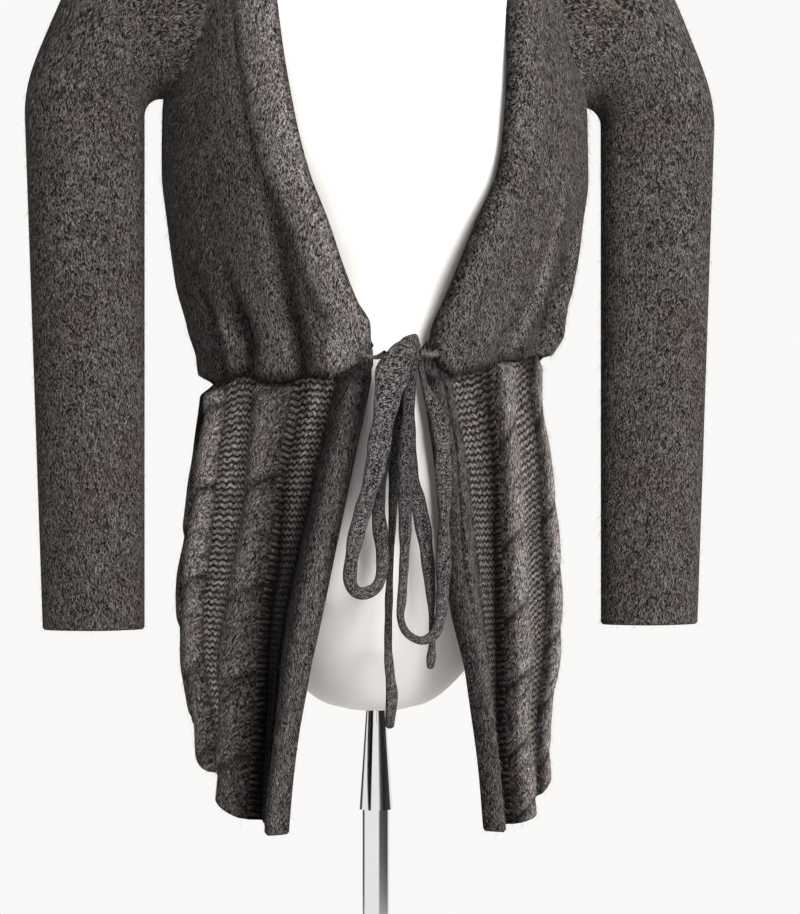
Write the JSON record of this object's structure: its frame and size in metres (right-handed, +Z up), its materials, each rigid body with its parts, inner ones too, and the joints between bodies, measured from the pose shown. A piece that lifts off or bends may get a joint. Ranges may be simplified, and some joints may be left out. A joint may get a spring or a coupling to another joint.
{
  "type": "long cardigan on a dress form",
  "caption": "Long knitted cardigan with a plain bodice, a drawstring waist tied in a bow and a cabled skirt, on a limbless dress form.",
  "frame": {"origin": "on the floor under the stand's pole, centre of the base's flat underside", "axes": "+Z up along the pole, +X to the wearer's left, -Y to the front of the garment"},
  "size_m": [0.5584, 0.34, 1.552],
  "materials": {
    "charcoal_plain_knit": "brushed wool and mohair, matt",
    "charcoal_cable_knit": "brushed wool and mohair, matt",
    "charcoal_band_knit": "brushed wool and mohair, matt",
    "charcoal_tie_tape": "flat knitted tape, matt",
    "white_form_shell": "smooth satin",
    "chrome": "polished"
  },
  "bodies": {
    "root": {"bodice_back": "charcoal_plain_knit", "bodice_band_left": "charcoal_band_knit", "bodice_band_right": "charcoal_band_knit", "bodice_front_left": "charcoal_plain_knit", "bodice_front_right": "charcoal_plain_knit", "form_neck_cap": "chrome", "form_torso": "white_form_shell", "neck_band": "charcoal_band_knit", "skirt_back": "charcoal_cable_knit", "skirt_band_left": "charcoal_band_knit", "skirt_band_right": "charcoal_band_knit", "skirt_front_left": "charcoal_cable_knit", "skirt_front_right": "charcoal_cable_knit", "sleeve_left": "charcoal_plain_knit", "sleeve_right": "charcoal_plain_knit", "stand_base": "chrome", "stand_pole": "chrome", "stand_socket": "chrome", "tie_knot": "charcoal_tie_tape", "tie_lead_left": "charcoal_tie_tape", "tie_lead_right": "charcoal_tie_tape", "tie_loop_left": "charcoal_tie_tape", "tie_loop_right": "charcoal_tie_tape", "tie_tail_long": "charcoal_tie_tape", "tie_tail_short": "charcoal_tie_tape"}
  },
  "joints": []
}
